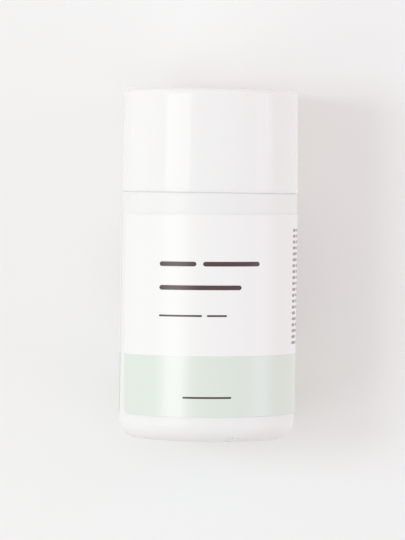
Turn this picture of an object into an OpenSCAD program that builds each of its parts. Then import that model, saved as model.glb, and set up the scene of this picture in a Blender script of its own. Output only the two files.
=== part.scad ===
// Dip-in sponge jar for nail polish remover: a blown bottle filled with foam that has a finger hole,
// and a tall double-walled screw lid. Millimetres, +Z up, the origin in the middle of the standing face.
// The front of the label faces -Y.

/* [Bottle] */
// Outside diameter of the bare body
body_d = 47.6; // [46:0.1:52]
// Height of the shoulder's ledge above the table
shoulder_z = 67.4; // [62:0.1:90]
// Radius of the rounded edge of the shoulder
shoulder_r = 1.8; // [1.6:0.1:3]
// Radius of the rounded heel
heel_r = 5; // [4:0.1:6]
// Depth by which the flat standing face cuts the heel's arc short
heel_cut = 0.35; // [0.1:0.05:0.6]
// Thickness of the side wall
wall = 1.3; // [1:0.1:1.4]
// Thickness of the floor at the standing ring
floor_t = 2.6; // [2:0.1:3]
// Depth of the push-up under the floor
push_up = 0.9; // [0.4:0.1:1.2]
// Width of the ring that the bottle stands on
standing_w = 3.2; // [2:0.1:5]

/* [Neck] */
// Outside diameter of the neck between its threads
neck_d = 35; // [34:0.5:36]
// Diameter of the bore through the neck
bore_d = 30.6; // [30:0.1:31]
// Height of the neck above the shoulder
neck_h = 16.2; // [15:0.1:18]
// Rise of the screw thread in one turn
lead = 4; // [4:0.1:4.5]
// Length of each thread ridge, in turns
thread_turns = 1.5; // [1:0.25:1.75]
// Height by which the bottle's thread stands out from the neck
thread_h = 1.2; // [0.9:0.1:1.3]
// Distance from the mouth down to the middle of the bottle's thread where it starts
thread_drop = 2; // [1.8:0.1:2.4]
// Height by which the bead under the thread stands out from the neck
bead_h = 0.9; // [0.5:0.1:1.1]

/* [Sponge] */
// Diameter of the finger hole
hole_d = 16; // [12:0.5:18]
// Thickness of the uncut pad under the finger hole
pad_h = 9.4; // [5:0.1:20]
// Space left between the foam and the wall that it fills
foam_gap = 0.2; // [0.1:0.05:0.2]

/* [Retainer] */
// Diameter of the throat that the finger passes
throat_d = 20; // [19:0.5:24]
// Depth of the retainer below the mouth
retainer_depth = 9; // [6:0.5:12]
// Wall thickness of the retainer
retainer_t = 1; // [0.8:0.1:1.2]
// Fall of the funnel floor from the retainer's wall to its throat
funnel_fall = 1.6; // [0.5:0.1:2.5]

/* [Label] */
// Thickness of the label film
label_t = 0.2; // [0.08:0.01:0.25]
// Height of the label's lower edge
label_z = 6.8; // [5:0.1:12]
// Height of the label itself
label_h = 53.9; // [40:0.1:55]
// Direction of the label's first edge, counterclockwise from +X
label_start = 201; // [0:1:359]
// Width of the bare strip between the label's two ends, in degrees
label_gap = 14; // [5:1:40]
// Radius of the label's four corners
label_corner_r = 2.5; // [1:0.1:5]
// Height of the printed green band along the label's lower edge
band_h = 16.2; // [8:0.1:30]

/* [Lid] */
// How far the lid's rim reaches down past the shoulder's ledge
lid_drop = 0.4; // [0.2:0.1:0.5]
// Height of the lid
lid_h = 27.4; // [26:0.1:34]
// Outside diameter of the lid at its rim
lid_d = 47.8; // [47.6:0.1:48]
// Draft: how much narrower the lid's radius is at the top
lid_draft = 0.4; // [0.2:0.1:0.5]
// Radius of the lid's rounded top edge
lid_edge_r = 1.8; // [1:0.1:3]
// Thickness of the lid's outer wall
lid_wall = 1.4; // [1.2:0.1:1.5]
// Thickness of the lid's top
lid_top_t = 1.6; // [1.2:0.1:2.4]
// Thickness of the foamed sealing disc
liner_t = 1.2; // [0.8:0.1:1.5]
// Wall thickness of the threaded insert
insert_t = 1.4; // [1.2:0.1:1.5]
// Number of drive ribs around the threaded insert
drive_ribs = 24; // [12:1:36]

/* [Hidden] */
$fn = 144;

plastic_white = "#f5f4f3";
film_white = "#f7f6f5";
mint = "#d9e8dd";
foam_cream = "#f0ead6";
liner_grey = "#e6e6e4";

body_r = body_d / 2;
heel_z = heel_r - heel_cut;
heel_in = body_r - heel_r;
shoulder_in = body_r - shoulder_r;
standing_r = heel_in + sqrt(heel_r * heel_r - heel_z * heel_z);
neck_r = neck_d / 2;
bore_r = bore_d / 2;
mouth_z = shoulder_z + neck_h;
mouth_chamfer = 0.4;

thread_r = neck_r + thread_h;
thread_top = mouth_z - thread_drop;
thread_foot = thread_top - lead * thread_turns;
thread_angle = 30;
root_w = 2;
crest_w = 0.9;
thread_root = 0.3;
thread_play = 0.35;
bead_z = shoulder_z + 1.6;
bead_w = 1.4;

floor_z = floor_t;
pad_z = floor_z + pad_h;
hole_chamfer = 1;
plug_top = mouth_z - retainer_depth - funnel_fall;

tube_r = bore_r - 0.1;
flange_r = neck_r - 0.3;
seal_z = mouth_z + retainer_t;
seal_gap = 0.05;

label_in = body_r + 0.02;
label_sweep = 360 - label_gap;
corner_steps = 8;

lid_z = shoulder_z - lid_drop;
lid_r = lid_d / 2;
lid_top_r = lid_r - lid_draft;
lid_roof = lid_h - lid_top_t;
liner_z = seal_z + seal_gap;
insert_roof = liner_z + liner_t + seal_gap;
insert_top = insert_roof + insert_t;
seat_w = 0.85;
seat_h = lid_drop + 0.2;
snap_w = 0.4;
insert_z = lid_z + seat_h + snap_w + 0.05;
insert_in = thread_r + thread_play;
insert_out = insert_in + insert_t;
insert_thread_r = neck_r + 0.5;
insert_root_w = 1.8;
insert_crest_w = 0.8;
insert_flange_h = 1.2;
insert_fit = 0.15;
liner_r = insert_in - 0.4;
ring_r = 11;
ring_t = 1.2;
rib_w = 1;
snap_h = 0.3;

// Half widths of the two ridges where they pass each other, and the drop that lets the lid's ridge
// bear on the underside of the bottle's ridge with the play left between them
mid_r = (insert_thread_r + thread_r) / 2;
neck_half = (root_w - (root_w - crest_w) * (mid_r - neck_r) / thread_h) / 2;
lid_half = (insert_root_w - (insert_root_w - insert_crest_w) * (insert_in - mid_r)
    / (insert_in - insert_thread_r)) / 2;
mesh_drop = neck_half + lid_half + 0.3;

// A right-handed thread ridge as one closed strip. It starts at angle a0 and height z0, climbs one
// lead in each turn, and sinks into the wall at both ends. Its foot lies at radius foot_r, inside the
// wall, and its crest at crest_r, further out for a bottle and further in for a cap.
module thread_ridge(foot_r, crest_r, foot_w, top_w, z0, a0 = 0, turns = 1.5, steps = 48) {
    fade = 5;
    n = round(turns * steps);
    rings = [for (i = [0:n])
        let (
            a = a0 + 360 * i / steps,
            z = z0 + lead * i / steps,
            rise = 0.1 + 0.9 * min(1, i / fade, (n - i) / fade),
            r = foot_r + (crest_r - foot_r) * rise
        )
        [
            [foot_r * cos(a), foot_r * sin(a), z - foot_w / 2],
            [r * cos(a), r * sin(a), z - top_w / 2],
            [r * cos(a), r * sin(a), z + top_w / 2],
            [foot_r * cos(a), foot_r * sin(a), z + foot_w / 2]
        ]
    ];
    outwards = crest_r > foot_r;
    walls = [for (i = [0:n - 1], k = [0:3])
        let (p = 4 * i + k, q = 4 * i + (k + 1) % 4)
        each [[p, q, q + 4], [p, q + 4, p + 4]]
    ];
    ends = [[2, 1, 0], [3, 2, 0], [4 * n, 4 * n + 1, 4 * n + 2], [4 * n, 4 * n + 2, 4 * n + 3]];
    faces = concat(walls, ends);
    polyhedron(
        points = [for (ring = rings) each ring],
        faces = outwards ? faces : [for (f = faces) [f[2], f[1], f[0]]],
        convexity = 6
    );
}

// Half outline of the bottle's body, drawn in on every side by the given amount
module body_outline(inset = 0) {
    translate([0, heel_z - heel_r + inset])
        square([heel_in, shoulder_z - heel_z + heel_r - 2 * inset]);
    translate([0, heel_z])
        square([body_r - inset, shoulder_z - shoulder_r - heel_z]);
    translate([heel_in, heel_z])
        circle(heel_r - inset);
    translate([0, shoulder_z - shoulder_r])
        square([shoulder_in, shoulder_r - inset]);
    translate([shoulder_in, shoulder_z - shoulder_r])
        circle(shoulder_r - inset);
}

// Half outline of the solid neck, with its bead and its chamfered mouth
module neck_outline() {
    polygon([
        [0, shoulder_z - wall],
        [neck_r, shoulder_z - wall],
        [neck_r, bead_z - bead_h / 2],
        [neck_r + bead_h, bead_z],
        [neck_r + bead_h, bead_z + bead_w],
        [neck_r, bead_z + bead_w + bead_h / 2],
        [neck_r, mouth_z - mouth_chamfer],
        [neck_r - mouth_chamfer, mouth_z],
        [0, mouth_z]
    ]);
}

// Blown bottle: rounded heel, push-up floor, square shoulder and a wide threaded neck
module bottle() {
    color(plastic_white) {
        rotate_extrude() difference() {
            intersection() {
                union() {
                    body_outline();
                    neck_outline();
                }
                square([body_r, mouth_z]);
            }
            intersection() {
                body_outline(wall);
                translate([0, floor_z]) square([body_r, shoulder_z]);
            }
            translate([0, floor_z]) square([bore_r, mouth_z]);
            polygon([
                [0, -1],
                [standing_r - standing_w, -1],
                [standing_r - standing_w, 0],
                [standing_r - standing_w - push_up, push_up],
                [0, push_up]
            ]);
        }
        thread_ridge(
            neck_r - thread_root, thread_r, root_w, crest_w,
            thread_foot, thread_angle, thread_turns
        );
    }
}

// Rounds off one corner of the label: end 0 or 1 is its first or second end, edge 0 or 1 its foot or top.
// The cut's outline starts and stops outside the film, so that it crosses both edges cleanly.
module label_corner(end, edge) {
    arc = [for (i = [0:corner_steps])
        let (a = 90 * i / corner_steps)
        label_corner_r * [1 - sin(a), 1 - cos(a)]];
    first = 2 * arc[0] - arc[1];
    last = 2 * arc[corner_steps] - arc[corner_steps - 1];
    rotate([0, 0, label_start + end * label_sweep])
        translate([label_in - 1, 0, label_z + edge * label_h])
            mirror([0, end, 0])
                mirror([0, 0, edge])
                    rotate([90, 0, 90])
                        linear_extrude(3) polygon(concat(
                            [[-2, -2], [first.x, -2], first],
                            [for (i = [1:corner_steps - 1]) arc[i]],
                            [last, [-2, last.y]]
                        ));
}

// One belt of the label's film, wrapped round the body between the label's two ends
module film_belt(z, height) {
    difference() {
        rotate([0, 0, label_start])
            rotate_extrude(angle = label_sweep)
                translate([label_in, z]) square([label_t, height]);
        for (end = [0, 1], edge = [0, 1]) label_corner(end, edge);
    }
}

// Wrap-round label of white film, printed in solid green along its lower edge
module label() {
    color(mint) film_belt(label_z, band_h);
    color(film_white) film_belt(label_z + band_h, label_h - band_h);
}

// Uncut foam disc that closes the finger hole's lower end
module sponge_base_pad() {
    color(foam_cream) rotate_extrude() intersection() {
        body_outline(wall + foam_gap);
        translate([0, floor_z]) square([body_r, pad_h]);
    }
}

// Foam plug with the finger hole, pressed up into the neck as far as the retainer
module sponge_sleeve() {
    color(foam_cream) rotate_extrude() difference() {
        intersection() {
            union() {
                body_outline(wall + foam_gap);
                square([bore_r - foam_gap, plug_top]);
            }
            translate([0, pad_z]) square([body_r, plug_top - pad_z]);
        }
        translate([0, pad_z - 1]) square([hole_d / 2, plug_top - pad_z + 2]);
        polygon([
            [0, plug_top - hole_chamfer],
            [hole_d / 2, plug_top - hole_chamfer],
            [hole_d / 2 + hole_chamfer, plug_top],
            [hole_d / 2 + hole_chamfer, plug_top + 1],
            [0, plug_top + 1]
        ]);
    }
}

// Flanged cup pressed into the mouth; its funnel floor holds the foam down and drains back to it
module sponge_retainer() {
    tube_floor = mouth_z - retainer_depth;
    color(plastic_white) rotate_extrude() polygon([
        [tube_r, mouth_z],
        [flange_r, mouth_z],
        [flange_r, seal_z - 0.3],
        [flange_r - 0.3, seal_z],
        [tube_r - retainer_t, seal_z],
        [tube_r - retainer_t, tube_floor + retainer_t],
        [throat_d / 2, tube_floor - funnel_fall + retainer_t],
        [throat_d / 2, tube_floor - funnel_fall],
        [tube_r, tube_floor]
    ]);
}

// Half outline of a cup with draft on its side and a rounded top edge, standing on z = 0
module drafted_cup(rim_r, top_r, height, edge_r) {
    slope = atan((rim_r - top_r) / height);
    edge_z = height - edge_r;
    edge_x = rim_r - edge_z * tan(slope) - edge_r / cos(slope);
    polygon([
        [0, 0],
        [rim_r, 0],
        [edge_x + edge_r * cos(slope), edge_z + edge_r * sin(slope)],
        [edge_x, edge_z],
        [edge_x, height],
        [0, height]
    ]);
    translate([edge_x, edge_z]) circle(edge_r);
}

// Outer shell of the lid, with the ring that presses on the insert, a snap bead that holds it in, and
// a rim that is cut back inside to clear the bottle's rounded shoulder
module lid_shell() {
    rim_in = lid_r - lid_wall;
    color(plastic_white) translate([0, 0, lid_z]) rotate_extrude() difference() {
        drafted_cup(lid_r, lid_top_r, lid_h, lid_edge_r);
        difference() {
            drafted_cup(rim_in, lid_top_r - lid_wall, lid_roof, lid_edge_r / 3);
            translate([ring_r, insert_top - lid_z]) square([ring_t, lid_h - insert_top + lid_z]);
            translate([0, seat_h]) polygon([
                [rim_in + lid_wall / 2, 0],
                [rim_in, 0],
                [rim_in - snap_h, snap_w / 2],
                [rim_in - snap_h, snap_w - 0.1],
                [rim_in, snap_w],
                [rim_in + lid_wall / 2, snap_w]
            ]);
        }
        polygon([
            [0, -1],
            [rim_in + seat_w, -1],
            [rim_in + seat_w, 0],
            [rim_in, seat_h],
            [0, seat_h]
        ]);
    }
}

// Threaded inner cap: skirt with its thread, a flange that closes the rim, and drive ribs
module lid_insert() {
    rib_r = lid_top_r - lid_wall - insert_fit;
    insert_flange_r = lid_r - lid_wall - insert_fit;
    color(plastic_white) {
        rotate_extrude() polygon([
            [0, insert_roof],
            [insert_in, insert_roof],
            [insert_in, insert_z],
            [insert_flange_r, insert_z],
            [insert_flange_r, insert_z + insert_flange_h],
            [insert_out, insert_z + insert_flange_h],
            [insert_out, insert_top],
            [0, insert_top]
        ]);
        thread_ridge(
            insert_in + thread_root, insert_thread_r, insert_root_w, insert_crest_w,
            thread_foot - mesh_drop, thread_angle, thread_turns
        );
        for (i = [0:drive_ribs - 1])
            rotate([0, 0, 360 * i / drive_ribs])
                translate([insert_out - insert_t / 2, -rib_w / 2, insert_z + insert_flange_h / 2])
                    cube([rib_r - insert_out + insert_t / 2, rib_w, insert_top - insert_z - insert_flange_h]);
    }
}

// Foamed sealing disc in the roof of the insert
module lid_liner() {
    color(liner_grey) translate([0, 0, liner_z]) cylinder(r = liner_r, h = liner_t);
}

bottle();
label();
sponge_base_pad();
sponge_sleeve();
sponge_retainer();
lid_shell();
lid_insert();
lid_liner();
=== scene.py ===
# %% [markdown]
# # A dip-in sponge jar
# This lesson dresses a small white cosmetic jar: a blown bottle packed with foam, a cup that holds the
# foam down, a tall double-walled screw lid and a wrap-round label. The shapes, sizes and joints already
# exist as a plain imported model, which is loaded here as a fixed frame. Each piece is then made again
# with the soft edges, threads, print and surfaces that the plain solids don't have.
#
# Everything is in metres. +Z points up along the jar, and the front of the label faces -Y.

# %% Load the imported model
import math
import random

import bpy
from mathutils import Matrix, Vector, noise


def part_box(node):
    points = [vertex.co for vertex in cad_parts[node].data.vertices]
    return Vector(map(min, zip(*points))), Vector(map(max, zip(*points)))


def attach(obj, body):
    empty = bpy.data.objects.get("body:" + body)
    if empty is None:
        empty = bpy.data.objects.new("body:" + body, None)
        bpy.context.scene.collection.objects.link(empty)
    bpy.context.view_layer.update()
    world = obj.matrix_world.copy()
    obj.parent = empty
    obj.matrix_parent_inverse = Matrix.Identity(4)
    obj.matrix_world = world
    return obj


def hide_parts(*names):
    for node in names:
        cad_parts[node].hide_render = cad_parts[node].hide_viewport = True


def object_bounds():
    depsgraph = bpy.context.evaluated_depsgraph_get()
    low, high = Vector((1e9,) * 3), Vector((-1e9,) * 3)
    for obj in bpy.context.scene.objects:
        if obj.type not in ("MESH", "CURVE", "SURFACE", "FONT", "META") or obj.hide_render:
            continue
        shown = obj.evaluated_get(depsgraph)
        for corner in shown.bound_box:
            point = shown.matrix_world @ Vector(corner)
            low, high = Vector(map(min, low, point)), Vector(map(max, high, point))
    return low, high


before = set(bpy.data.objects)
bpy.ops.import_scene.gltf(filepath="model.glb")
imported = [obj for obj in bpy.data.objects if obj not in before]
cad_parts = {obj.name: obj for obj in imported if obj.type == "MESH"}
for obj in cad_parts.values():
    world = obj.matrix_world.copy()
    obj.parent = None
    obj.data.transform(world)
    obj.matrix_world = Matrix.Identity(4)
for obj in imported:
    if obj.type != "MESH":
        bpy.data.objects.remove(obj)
cad_low, cad_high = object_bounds()
mm = 0.001

for name in sorted(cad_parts):
    low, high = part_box(name)
    print(f"{name:16s} z {low.z / mm:6.2f} to {high.z / mm:6.2f} mm, reach {high.x / mm:6.2f} mm")

# %% [markdown]
# ## The camera and the table
# In the photograph the jar lies on its back on a pale table and a long lens looks straight down at it.
# Here the jar stands upright, so the same picture is a level view from the front, and the table is a
# wall that the jar's back just touches. The camera leans by less than a degree, as the photographer's
# did. It stands almost a metre away, so its lens is long and the jar's sides stay almost parallel.

# %% Camera
picture_height = 540  # pixels
pixels_per_metre = 3669.81132  # on the jar
sensor = 36.0  # mm
camera_distance = 0.930
camera_height = 0.068
camera_side = -0.00165
camera_dip, camera_lean = 1.396, 0.87  # degrees
farthest_seen = 10.0

camera_data = bpy.data.cameras.new("camera")
camera_data.sensor_width = sensor
camera_data.lens = pixels_per_metre * camera_distance / picture_height * sensor
camera_data.clip_end = farthest_seen
camera = bpy.data.objects.new("camera", camera_data)
bpy.context.scene.collection.objects.link(camera)
camera.matrix_world = (
    Matrix.Translation((camera_side, -camera_distance, camera_height))
    @ Matrix.Rotation(math.radians(90 - camera_dip), 4, "X")
    @ Matrix.Rotation(math.radians(camera_lean), 4, "Z")
)
bpy.context.scene.camera = camera
print(f"lens {camera_data.lens:.0f} mm, {camera_distance} m away")

# %% [markdown]
# ## Node helpers
# A material is a small graph of nodes. These helpers keep the graphs short: `add_node` makes one node,
# sets its options and fills its sockets with values or links, `calculate` makes one Math node, and
# `vector` puts three numbers together. They work on shader trees and Geometry Nodes trees alike.

# %% Node helpers
def add_node(tree, kind, sockets=None, **options):
    """Adds a node; a socket is named or numbered, and takes a value or another node's output."""
    node = tree.nodes.new(kind)
    for option, value in options.items():
        setattr(node, option, value)
    for key, value in (sockets or {}).items():
        if isinstance(value, bpy.types.NodeSocket):
            tree.links.new(value, node.inputs[key])
        else:
            node.inputs[key].default_value = value
    return node


def calculate(tree, operation, *values, clamp=False):
    """One Math node; returns its result."""
    node = add_node(tree, "ShaderNodeMath", dict(enumerate(values)), operation=operation)
    node.use_clamp = clamp
    return node.outputs[0]


def vector(tree, **parts):
    """A vector from values or outputs for x, y and z; a part that isn't named is zero."""
    sockets = {axis.upper(): part for axis, part in parts.items()}
    return add_node(tree, "ShaderNodeCombineXYZ", sockets).outputs[0]


# %% [markdown]
# The table is only there for the camera: it shows its lit colour and the jar's soft shadow, and every
# other ray passes through it, so that the jar's back is still lit when it is seen from behind. Its
# edges fade out, because the world behind it has the same pale colour.

# %% Table
table_colour = (0.893, 0.893, 0.893, 1)
table_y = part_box("label")[1].y + 0.05 * mm
table_middle = Vector((-0.002, table_y, 0.046))
table_half = Vector((0.100, 0.0, 0.115))
fade_width = 0.030


def table_material():
    material = bpy.data.materials.new("table")
    material.use_nodes = True
    tree = material.node_tree
    tree.nodes.clear()
    place = add_node(tree, "ShaderNodeTexCoord").outputs["Object"]
    axes = add_node(tree, "ShaderNodeSeparateXYZ", {0: place})
    shares = []
    for axis in (0, 2):
        off = calculate(tree, "SUBTRACT", axes.outputs[axis], table_middle[axis])
        inside = calculate(tree, "SUBTRACT", table_half[axis], calculate(tree, "ABSOLUTE", off))
        shares.append(calculate(tree, "DIVIDE", inside, fade_width, clamp=True))
    to_camera = add_node(tree, "ShaderNodeLightPath").outputs["Is Camera Ray"]
    backfacing = add_node(tree, "ShaderNodeNewGeometry").outputs["Backfacing"]
    shown = calculate(tree, "MULTIPLY", to_camera, calculate(tree, "SUBTRACT", 1, backfacing))
    solid = calculate(tree, "MULTIPLY", shown, calculate(tree, "MULTIPLY", *shares))
    surface = add_node(tree, "ShaderNodeBsdfDiffuse", {"Color": table_colour}).outputs[0]
    clear = add_node(tree, "ShaderNodeBsdfTransparent").outputs[0]
    mixed = add_node(tree, "ShaderNodeMixShader", {0: solid, 1: clear, 2: surface})
    add_node(tree, "ShaderNodeOutputMaterial", {"Surface": mixed.outputs[0]})
    return material


corners = [table_middle + Vector((i * table_half.x, 0, j * table_half.z))
           for i, j in ((-1, -1), (1, -1), (1, 1), (-1, 1))]
table_mesh = bpy.data.meshes.new("table")
table_mesh.from_pydata(corners, [], [(0, 1, 2, 3)])
table_mesh.materials.append(table_material())
table = bpy.data.objects.new("table", table_mesh)
bpy.context.scene.collection.objects.link(table)

print(f"table plane at y {table_y / mm:.2f} mm")

# %% [markdown]
# The room's light comes from the world behind everything. The front half of it is the room: brighter
# on the left, dimmer above and below. The back half stands in for the light that the table sends back,
# which is dimmer and warmer on the right, where the jar's shadow lies. Rays that look at the world,
# either straight or in a reflection, see one even pale backdrop instead.

# %% World
backdrop_colour = (0.896, 0.885, 0.874, 1)
room_left, room_right = (1.01, 1.05, 1.04, 1), (0.84, 0.87, 0.84, 1)
room_above, room_below = (0.78, 0.62, 0.60, 1), (0.54, 0.44, 0.42, 1)
table_left, table_right = (0.93, 0.90, 0.84, 1), (0.82, 0.74, 0.66, 1)
level, steep = 0.35, 0.55  # how far a direction rises, from the room's middle to its ceiling
side_blend, edge_blend = 0.2, 0.05


def crossfade(tree, factor, first, second):
    node = add_node(tree, "ShaderNodeMix", {0: factor, 6: first, 7: second}, data_type="RGBA")
    return node.outputs[2]


def ramp(tree, value, low, high):
    node = add_node(tree, "ShaderNodeMapRange", {0: value, 1: low, 2: high},
                    interpolation_type="SMOOTHSTEP")
    return node.outputs[0]


world = bpy.data.worlds.new("studio")
bpy.context.scene.world = world
world.use_nodes = True
sky = world.node_tree
sky.nodes.clear()
direction = add_node(sky, "ShaderNodeTexCoord").outputs["Generated"]
toward = add_node(sky, "ShaderNodeSeparateXYZ", {0: direction}).outputs
rightward = ramp(sky, toward["X"], 0.0, side_blend)
room = crossfade(sky, rightward, room_left, room_right)
room = crossfade(sky, ramp(sky, toward["Z"], level, steep), room, room_above)
room = crossfade(sky, ramp(sky, toward["Z"], -level, -steep), room, room_below)
table_light = crossfade(sky, rightward, table_left, table_right)
backward = ramp(sky, toward["Y"], -edge_blend, edge_blend)
ambient = crossfade(sky, backward, room, table_light)
rays = add_node(sky, "ShaderNodeLightPath").outputs
seen = calculate(sky, "ADD", rays["Is Camera Ray"],
                 calculate(sky, "ADD", rays["Is Glossy Ray"], rays["Is Transmission Ray"]), clamp=True)
glow = add_node(sky, "ShaderNodeBackground", {"Color": crossfade(sky, seen, ambient, backdrop_colour)})
add_node(sky, "ShaderNodeOutputWorld", {"Surface": glow.outputs[0]})
bpy.context.scene.view_settings.view_transform = "Standard"
print(f"world tree has {len(sky.nodes)} nodes")

# %% [markdown]
# ## The lamps
# The photograph has one big soft lamp on the left. Its edges can be read from the jar itself: a mirror
# image of a lamp on a round wall starts where the wall leans by half the angle to the lamp. The bright
# strip lies 13 to 30 degrees round the lid, so the lamp fills 26 to 60 degrees to the camera's left.
# Its shadow has firm ends, though, so most of its light comes from a flat band near its middle. Lamps
# can be told apart by what they do: the key and the low fill light the jar and cast the shadow, and a
# third lamp of the full size is only seen in the gloss. A fourth one stands in for the light that the
# right side of the room sends back.

# %% Lamps
def softbox(name, angle, raised, width, tallness, radiance, colour, distance=1.0):
    """A rectangle of even light, turned to the camera's right and raised above the jar's middle."""
    data = bpy.data.lights.new(name, "AREA")
    data.shape = "RECTANGLE"
    data.size, data.size_y = width, tallness
    data.color = colour
    data.energy = radiance * math.pi * width * tallness
    lamp = bpy.data.objects.new(name, data)
    bpy.context.scene.collection.objects.link(lamp)
    turn = math.radians(angle)
    middle = Vector((0, 0, (cad_low.z + cad_high.z) / 2))
    lamp.location = middle + Vector((distance * math.sin(turn), -distance * math.cos(turn), raised))
    aim = middle - lamp.location
    lamp.rotation_euler = aim.to_track_quat("-Z", "Y").to_euler()
    lamp.visible_camera = False
    print(f"{name}: {data.energy:.2f} W, {width * tallness:.3f} square metres")
    return lamp


cool = (0.87, 1.0, 1.05)
key = softbox("key_softbox", -41, raised=0.055, width=0.32, tallness=0.24, radiance=8.2, colour=cool)
low_fill = softbox("low_fill", -41, raised=-0.42, width=0.25, tallness=0.42, radiance=1.9, colour=cool)
gloss = softbox("gloss_softbox", -43, raised=0.0, width=0.611, tallness=0.58, radiance=2.7,
                colour=(0.98, 1.0, 0.99))
softbox("right_fill", 75, raised=0.0, width=0.45, tallness=1.2, radiance=1.22,
        colour=(0.93, 0.98, 1.22))
key.visible_glossy = low_fill.visible_glossy = False
gloss.visible_diffuse = False

# %% [markdown]
# ## Sizes that the pieces share
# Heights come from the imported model. The radii are the jar's own driving sizes, written once here and
# used by every outline below.

# %% Shared sizes
_, bottle_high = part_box("bottle")
label_low, label_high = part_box("label")
pad_low, pad_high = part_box("sponge_base_pad")
_, sleeve_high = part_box("sponge_sleeve")
retainer_low, retainer_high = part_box("sponge_retainer")
lid_low, lid_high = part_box("lid_shell")
insert_low, insert_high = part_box("lid_insert")
liner_low, liner_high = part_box("lid_liner")

mouth_z = bottle_high.z
body_r = bottle_high.x
wall = 1.3 * mm
heel_r = 5 * mm
heel_z = 4.65 * mm
shoulder_r = 1.8 * mm
shoulder_z = mouth_z - 16.2 * mm
neck_r = 17.5 * mm
bore_r = 15.3 * mm
push_up = 0.9 * mm
standing_w = 3.2 * mm
floor_z = pad_low.z
lid_r = lid_high.x
lid_top_r = 23.5 * mm
lid_wall = 1.4 * mm
insert_in = 19.05 * mm
insert_t = 1.4 * mm
lead = 4 * mm
thread_turns = 1.5
seam_angle = math.radians(288.8)
seam_w, seam_h = 0.16 * mm, 0.05 * mm
print(f"mouth at {mouth_z / mm:.1f} mm, shoulder at {shoulder_z / mm:.1f} mm")

# %% [markdown]
# ## Turned walls
# Bottle, lid and cups are all round, so each is one outline turned about the Z axis. The outline is a
# short list of corners, each a radius from the axis and a height, and a third number rounds the corner,
# because no moulded edge is sharp. A Bevel modifier could round them later, but then every corner would
# get the same radius.

# %% Outline helpers
def arc(centre, radius, start, end, steps=8):
    """Points on an arc of the outline, between two angles in degrees."""
    turns = [math.radians(start + (end - start) * i / steps) for i in range(steps + 1)]
    return [(centre[0] + radius * math.cos(a), centre[1] + radius * math.sin(a)) for a in turns]


def eased(corners, steps=5):
    """Rounds each corner that has a third value, its radius, with an arc that touches both sides."""
    points = []
    for i, corner in enumerate(corners):
        if len(corner) == 2:
            points.append(tuple(corner))
            continue
        here = Vector(corner[:2])
        before = (Vector(corners[i - 1][:2]) - here).normalized()
        after = (Vector(corners[i + 1][:2]) - here).normalized()
        half = before.angle(after) / 2
        centre = here + (before + after).normalized() * corner[2] / math.sin(half)
        first = here + before * corner[2] / math.tan(half) - centre
        last = here + after * corner[2] / math.tan(half) - centre
        sweep = first.angle_signed(last)
        for k in range(steps + 1):
            points.append(tuple(centre + Matrix.Rotation(-sweep * k / steps, 2) @ first))
    return points


def spaced(points, step):
    """Adds points along the straight stretches, so that none is longer than step."""
    result = [points[0]]
    for a, b in zip(points, points[1:]):
        count = max(1, math.ceil((Vector(b) - Vector(a)).length / step))
        result += [tuple(Vector(a).lerp(Vector(b), k / count)) for k in range(1, count + 1)]
    return result


# %% [markdown]
# A Geometry Nodes tree does the turning. It lays out a grid with one column for each step round the
# axis, moves every grid point onto its outline point, turns it by its column's angle, and merges the
# seam and poles. A Spin or Screw modifier could turn it too, but the tree has the steps as a named
# input, and the same two helpers open and close every tree of this lesson.

# %% Turning tree
def new_tree(name, **sizes):
    """An empty Geometry Nodes tree with named inputs; returns the tree and its input sockets."""
    tree = bpy.data.node_groups.new(name, "GeometryNodeTree")
    tree.interface.new_socket("Geometry", in_out="INPUT", socket_type="NodeSocketGeometry")
    tree.interface.new_socket("Geometry", in_out="OUTPUT", socket_type="NodeSocketGeometry")
    for size, value in sizes.items():
        kind = "NodeSocketInt" if isinstance(value, int) else "NodeSocketFloat"
        socket = tree.interface.new_socket(size.replace("_", " "), in_out="INPUT", socket_type=kind)
        socket.default_value = value
    tree.interface.new_socket("Material", in_out="INPUT", socket_type="NodeSocketMaterial")
    return tree, add_node(tree, "NodeGroupInput").outputs


def end_tree(tree, sockets, geometry):
    """Closes a tree: instances become real, everything is smooth and takes the material."""
    real = add_node(tree, "GeometryNodeRealizeInstances", {0: geometry}).outputs[0]
    smooth = add_node(tree, "GeometryNodeSetShadeSmooth", {0: real}).outputs[0]
    painted = add_node(tree, "GeometryNodeSetMaterial", {0: smooth, "Material": sockets["Material"]})
    add_node(tree, "NodeGroupOutput", {0: painted.outputs[0]})
    return tree


def turning_tree():
    tree, sizes = new_tree("turned wall", Steps_round=192, Merge_distance=0.002 * mm)
    outline = sizes["Geometry"]
    count = add_node(tree, "GeometryNodeAttributeDomainSize", {0: outline}).outputs["Point Count"]
    columns = calculate(tree, "ADD", sizes["Steps round"], 1)
    grid = add_node(tree, "GeometryNodeMeshGrid", {"Vertices X": columns, "Vertices Y": count})
    index = add_node(tree, "GeometryNodeInputIndex").outputs[0]
    middle = calculate(tree, "ADD", index, 0.5)
    column = calculate(tree, "FLOOR", calculate(tree, "DIVIDE", middle, count))
    row = calculate(tree, "SUBTRACT", index, calculate(tree, "MULTIPLY", column, count))
    place = add_node(tree, "GeometryNodeInputPosition").outputs[0]
    sample = add_node(tree, "GeometryNodeSampleIndex", {"Geometry": outline}, data_type="FLOAT_VECTOR")
    tree.links.new(place, sample.inputs["Value"])
    tree.links.new(row, sample.inputs["Index"])
    share = calculate(tree, "DIVIDE", column, sizes["Steps round"])
    angle = calculate(tree, "MULTIPLY", share, 2 * math.pi)
    spun = add_node(tree, "ShaderNodeVectorRotate", {"Vector": sample.outputs[0], "Angle": angle},
                    rotation_type="Z_AXIS").outputs[0]
    moved = add_node(tree, "GeometryNodeSetPosition", {0: grid.outputs[0], "Position": spun})
    merged = add_node(tree, "GeometryNodeMergeByDistance",
                      {0: moved.outputs[0], "Distance": sizes["Merge distance"]})
    return end_tree(tree, sizes, merged.outputs[0])


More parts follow.
